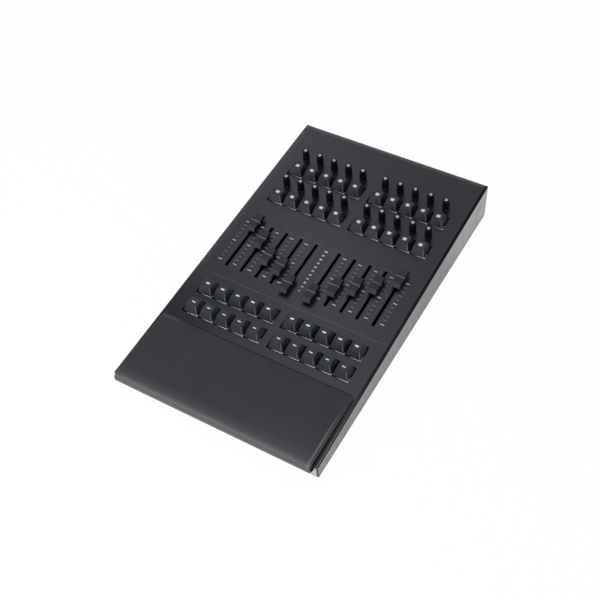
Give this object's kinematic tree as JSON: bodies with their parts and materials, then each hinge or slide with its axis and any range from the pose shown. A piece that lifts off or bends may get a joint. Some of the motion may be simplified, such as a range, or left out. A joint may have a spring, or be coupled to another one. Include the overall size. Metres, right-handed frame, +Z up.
{
  "type": "lighting control desk",
  "caption": "Sloped black lighting control desk with sliding faders, slim turning knobs, sprung lit keys in banks and a soft wrist rest that rolls over the front edge.",
  "frame": {"origin": "on the table, under the middle of the desk's box", "axes": "+X to the desk's right, +Y to its back, +Z up"},
  "size_m": [0.2398, 0.4156, 0.0635],
  "materials": {
    "tray_grey": "satin",
    "apron_metal": "satin",
    "panel_black": "black, fine texture",
    "rest_pad": "soft matte",
    "board_green": "satin",
    "standoff_brass": "satin",
    "housing_steel": "satin",
    "switch_plastic": "matte",
    "light_frame": "milky",
    "socket_steel": "satin",
    "inlet_plastic": "matte",
    "screw_steel": "satin",
    "foot_rubber": "matte",
    "fader_cap": "satin",
    "knob_plastic": "satin",
    "key_plastic": "satin"
  },
  "bodies": {
    "case": {"base_tray": "tray_grey", "front_apron": "apron_metal", "top_panel": "panel_black", "wrist_rest": "rest_pad", "circuit_boards": "board_green", "board_standoffs": "standoff_brass", "fader_housings": "housing_steel", "encoder_housings": "housing_steel", "key_switches": "switch_plastic", "key_light_frames": "light_frame", "data_socket": "socket_steel", "power_inlet": "inlet_plastic", "case_screws": "screw_steel", "rubber_feet": "foot_rubber"},
    "fader_01": {"fader_01": "fader_cap"},
    "fader_02": {"fader_02": "fader_cap"},
    "fader_03": {"fader_03": "fader_cap"},
    "fader_04": {"fader_04": "fader_cap"},
    "fader_05": {"fader_05": "fader_cap"},
    "fader_06": {"fader_06": "fader_cap"},
    "fader_07": {"fader_07": "fader_cap"},
    "fader_08": {"fader_08": "fader_cap"},
    "fader_09": {"fader_09": "fader_cap"},
    "fader_10": {"fader_10": "fader_cap"},
    "knob_01": {"knob_01": "knob_plastic"},
    "knob_02": {"knob_02": "knob_plastic"},
    "knob_03": {"knob_03": "knob_plastic"},
    "knob_04": {"knob_04": "knob_plastic"},
    "knob_05": {"knob_05": "knob_plastic"},
    "knob_06": {"knob_06": "knob_plastic"},
    "knob_07": {"knob_07": "knob_plastic"},
    "knob_08": {"knob_08": "knob_plastic"},
    "knob_09": {"knob_09": "knob_plastic"},
    "knob_10": {"knob_10": "knob_plastic"},
    "knob_11": {"knob_11": "knob_plastic"},
    "knob_12": {"knob_12": "knob_plastic"},
    "knob_13": {"knob_13": "knob_plastic"},
    "knob_14": {"knob_14": "knob_plastic"},
    "knob_15": {"knob_15": "knob_plastic"},
    "knob_16": {"knob_16": "knob_plastic"},
    "knob_17": {"knob_17": "knob_plastic"},
    "knob_18": {"knob_18": "knob_plastic"},
    "knob_19": {"knob_19": "knob_plastic"},
    "knob_20": {"knob_20": "knob_plastic"},
    "key_bank_row1_left": {"key_bank_row1_left": "key_plastic"},
    "key_bank_row1_right": {"key_bank_row1_right": "key_plastic"},
    "key_bank_row2_left": {"key_bank_row2_left": "key_plastic"},
    "key_bank_row2_right": {"key_bank_row2_right": "key_plastic"},
    "key_bank_row3_left": {"key_bank_row3_left": "key_plastic"},
    "key_bank_row3_right": {"key_bank_row3_right": "key_plastic"},
    "key_row4_01": {"key_row4_01": "key_plastic"},
    "key_row4_02": {"key_row4_02": "key_plastic"},
    "key_row4_03": {"key_row4_03": "key_plastic"},
    "key_row4_04": {"key_row4_04": "key_plastic"},
    "key_row4_05": {"key_row4_05": "key_plastic"},
    "key_row4_06": {"key_row4_06": "key_plastic"},
    "key_row4_07": {"key_row4_07": "key_plastic"},
    "key_row4_08": {"key_row4_08": "key_plastic"},
    "key_row4_09": {"key_row4_09": "key_plastic"},
    "key_row4_10": {"key_row4_10": "key_plastic"}
  },
  "joints": [
    {"name": "fader_01_slide", "type": "slide", "parent": "case", "child": "fader_01", "axis": [0, 0.9973, 0.0732], "range_m": [-0.06, 0]},
    {"name": "fader_02_slide", "type": "slide", "parent": "case", "child": "fader_02", "axis": [0, 0.9973, 0.0732], "range_m": [-0.0414, 0.0186]},
    {"name": "fader_03_slide", "type": "slide", "parent": "case", "child": "fader_03", "axis": [0, 0.9973, 0.0732], "range_m": [-0.0234, 0.0366]},
    {"name": "fader_04_slide", "type": "slide", "parent": "case", "child": "fader_04", "axis": [0, 0.9973, 0.0732], "range_m": [-0.0174, 0.0426]},
    {"name": "fader_05_slide", "type": "slide", "parent": "case", "child": "fader_05", "axis": [0, 0.9973, 0.0732], "range_m": [0, 0.06]},
    {"name": "fader_06_slide", "type": "slide", "parent": "case", "child": "fader_06", "axis": [0, 0.9973, 0.0732], "range_m": [0, 0.06]},
    {"name": "fader_07_slide", "type": "slide", "parent": "case", "child": "fader_07", "axis": [0, 0.9973, 0.0732], "range_m": [-0.0186, 0.0414]},
    {"name": "fader_08_slide", "type": "slide", "parent": "case", "child": "fader_08", "axis": [0, 0.9973, 0.0732], "range_m": [-0.0294, 0.0306]},
    {"name": "fader_09_slide", "type": "slide", "parent": "case", "child": "fader_09", "axis": [0, 0.9973, 0.0732], "range_m": [-0.0414, 0.0186]},
    {"name": "fader_10_slide", "type": "slide", "parent": "case", "child": "fader_10", "axis": [0, 0.9973, 0.0732], "range_m": [-0.06, 0]},
    {"name": "knob_01_turn", "type": "hinge", "parent": "case", "child": "knob_01", "pos_m": [-0.09073, 0.15138, 0.04856], "axis": [0, -0.0732, 0.9973], "continuous": true},
    {"name": "knob_02_turn", "type": "hinge", "parent": "case", "child": "knob_02", "pos_m": [-0.07168, 0.15138, 0.04856], "axis": [0, -0.0732, 0.9973], "continuous": true},
    {"name": "knob_03_turn", "type": "hinge", "parent": "case", "child": "knob_03", "pos_m": [-0.05262, 0.15138, 0.04856], "axis": [0, -0.0732, 0.9973], "continuous": true},
    {"name": "knob_04_turn", "type": "hinge", "parent": "case", "child": "knob_04", "pos_m": [-0.03358, 0.15138, 0.04856], "axis": [0, -0.0732, 0.9973], "continuous": true},
    {"name": "knob_05_turn", "type": "hinge", "parent": "case", "child": "knob_05", "pos_m": [-0.01452, 0.15138, 0.04856], "axis": [0, -0.0732, 0.9973], "continuous": true},
    {"name": "knob_06_turn", "type": "hinge", "parent": "case", "child": "knob_06", "pos_m": [0.01452, 0.15138, 0.04856], "axis": [0, -0.0732, 0.9973], "continuous": true},
    {"name": "knob_07_turn", "type": "hinge", "parent": "case", "child": "knob_07", "pos_m": [0.03358, 0.15138, 0.04856], "axis": [0, -0.0732, 0.9973], "continuous": true},
    {"name": "knob_08_turn", "type": "hinge", "parent": "case", "child": "knob_08", "pos_m": [0.05262, 0.15138, 0.04856], "axis": [0, -0.0732, 0.9973], "continuous": true},
    {"name": "knob_09_turn", "type": "hinge", "parent": "case", "child": "knob_09", "pos_m": [0.07168, 0.15138, 0.04856], "axis": [0, -0.0732, 0.9973], "continuous": true},
    {"name": "knob_10_turn", "type": "hinge", "parent": "case", "child": "knob_10", "pos_m": [0.09073, 0.15138, 0.04856], "axis": [0, -0.0732, 0.9973], "continuous": true},
    {"name": "knob_11_turn", "type": "hinge", "parent": "case", "child": "knob_11", "pos_m": [-0.09073, 0.1049, 0.04515], "axis": [0, -0.0732, 0.9973], "continuous": true},
    {"name": "knob_12_turn", "type": "hinge", "parent": "case", "child": "knob_12", "pos_m": [-0.07168, 0.1049, 0.04515], "axis": [0, -0.0732, 0.9973], "continuous": true},
    {"name": "knob_13_turn", "type": "hinge", "parent": "case", "child": "knob_13", "pos_m": [-0.05262, 0.1049, 0.04515], "axis": [0, -0.0732, 0.9973], "continuous": true},
    {"name": "knob_14_turn", "type": "hinge", "parent": "case", "child": "knob_14", "pos_m": [-0.03358, 0.1049, 0.04515], "axis": [0, -0.0732, 0.9973], "continuous": true},
    {"name": "knob_15_turn", "type": "hinge", "parent": "case", "child": "knob_15", "pos_m": [-0.01452, 0.1049, 0.04515], "axis": [0, -0.0732, 0.9973], "continuous": true},
    {"name": "knob_16_turn", "type": "hinge", "parent": "case", "child": "knob_16", "pos_m": [0.01452, 0.1049, 0.04515], "axis": [0, -0.0732, 0.9973], "continuous": true},
    {"name": "knob_17_turn", "type": "hinge", "parent": "case", "child": "knob_17", "pos_m": [0.03358, 0.1049, 0.04515], "axis": [0, -0.0732, 0.9973], "continuous": true},
    {"name": "knob_18_turn", "type": "hinge", "parent": "case", "child": "knob_18", "pos_m": [0.05262, 0.1049, 0.04515], "axis": [0, -0.0732, 0.9973], "continuous": true},
    {"name": "knob_19_turn", "type": "hinge", "parent": "case", "child": "knob_19", "pos_m": [0.07168, 0.1049, 0.04515], "axis": [0, -0.0732, 0.9973], "continuous": true},
    {"name": "knob_20_turn", "type": "hinge", "parent": "case", "child": "knob_20", "pos_m": [0.09073, 0.1049, 0.04515], "axis": [0, -0.0732, 0.9973], "continuous": true},
    {"name": "key_bank_row1_left_press", "type": "slide", "parent": "case", "child": "key_bank_row1_left", "axis": [0, -0.0732, 0.9973], "range_m": [-0.0035, 0], "stiffness_N_per_m": 500, "springref_m": 0.0045},
    {"name": "key_bank_row1_right_press", "type": "slide", "parent": "case", "child": "key_bank_row1_right", "axis": [0, -0.0732, 0.9973], "range_m": [-0.0035, 0], "stiffness_N_per_m": 500, "springref_m": 0.0045},
    {"name": "key_bank_row2_left_press", "type": "slide", "parent": "case", "child": "key_bank_row2_left", "axis": [0, -0.0732, 0.9973], "range_m": [-0.0035, 0], "stiffness_N_per_m": 500, "springref_m": 0.0045},
    {"name": "key_bank_row2_right_press", "type": "slide", "parent": "case", "child": "key_bank_row2_right", "axis": [0, -0.0732, 0.9973], "range_m": [-0.0035, 0], "stiffness_N_per_m": 500, "springref_m": 0.0045},
    {"name": "key_bank_row3_left_press", "type": "slide", "parent": "case", "child": "key_bank_row3_left", "axis": [0, -0.0732, 0.9973], "range_m": [-0.0035, 0], "stiffness_N_per_m": 500, "springref_m": 0.0045},
    {"name": "key_bank_row3_right_press", "type": "slide", "parent": "case", "child": "key_bank_row3_right", "axis": [0, -0.0732, 0.9973], "range_m": [-0.0035, 0], "stiffness_N_per_m": 500, "springref_m": 0.0045},
    {"name": "key_row4_01_press", "type": "slide", "parent": "case", "child": "key_row4_01", "axis": [0, -0.0732, 0.9973], "range_m": [-0.0035, 0], "stiffness_N_per_m": 100, "springref_m": 0.0045},
    {"name": "key_row4_02_press", "type": "slide", "parent": "case", "child": "key_row4_02", "axis": [0, -0.0732, 0.9973], "range_m": [-0.0035, 0], "stiffness_N_per_m": 100, "springref_m": 0.0045},
    {"name": "key_row4_03_press", "type": "slide", "parent": "case", "child": "key_row4_03", "axis": [0, -0.0732, 0.9973], "range_m": [-0.0035, 0], "stiffness_N_per_m": 100, "springref_m": 0.0045},
    {"name": "key_row4_04_press", "type": "slide", "parent": "case", "child": "key_row4_04", "axis": [0, -0.0732, 0.9973], "range_m": [-0.0035, 0], "stiffness_N_per_m": 100, "springref_m": 0.0045},
    {"name": "key_row4_05_press", "type": "slide", "parent": "case", "child": "key_row4_05", "axis": [0, -0.0732, 0.9973], "range_m": [-0.0035, 0], "stiffness_N_per_m": 100, "springref_m": 0.0045},
    {"name": "key_row4_06_press", "type": "slide", "parent": "case", "child": "key_row4_06", "axis": [0, -0.0732, 0.9973], "range_m": [-0.0035, 0], "stiffness_N_per_m": 100, "springref_m": 0.0045},
    {"name": "key_row4_07_press", "type": "slide", "parent": "case", "child": "key_row4_07", "axis": [0, -0.0732, 0.9973], "range_m": [-0.0035, 0], "stiffness_N_per_m": 100, "springref_m": 0.0045},
    {"name": "key_row4_08_press", "type": "slide", "parent": "case", "child": "key_row4_08", "axis": [0, -0.0732, 0.9973], "range_m": [-0.0035, 0], "stiffness_N_per_m": 100, "springref_m": 0.0045},
    {"name": "key_row4_09_press", "type": "slide", "parent": "case", "child": "key_row4_09", "axis": [0, -0.0732, 0.9973], "range_m": [-0.0035, 0], "stiffness_N_per_m": 100, "springref_m": 0.0045},
    {"name": "key_row4_10_press", "type": "slide", "parent": "case", "child": "key_row4_10", "axis": [0, -0.0732, 0.9973], "range_m": [-0.0035, 0], "stiffness_N_per_m": 100, "springref_m": 0.0045}
  ]
}
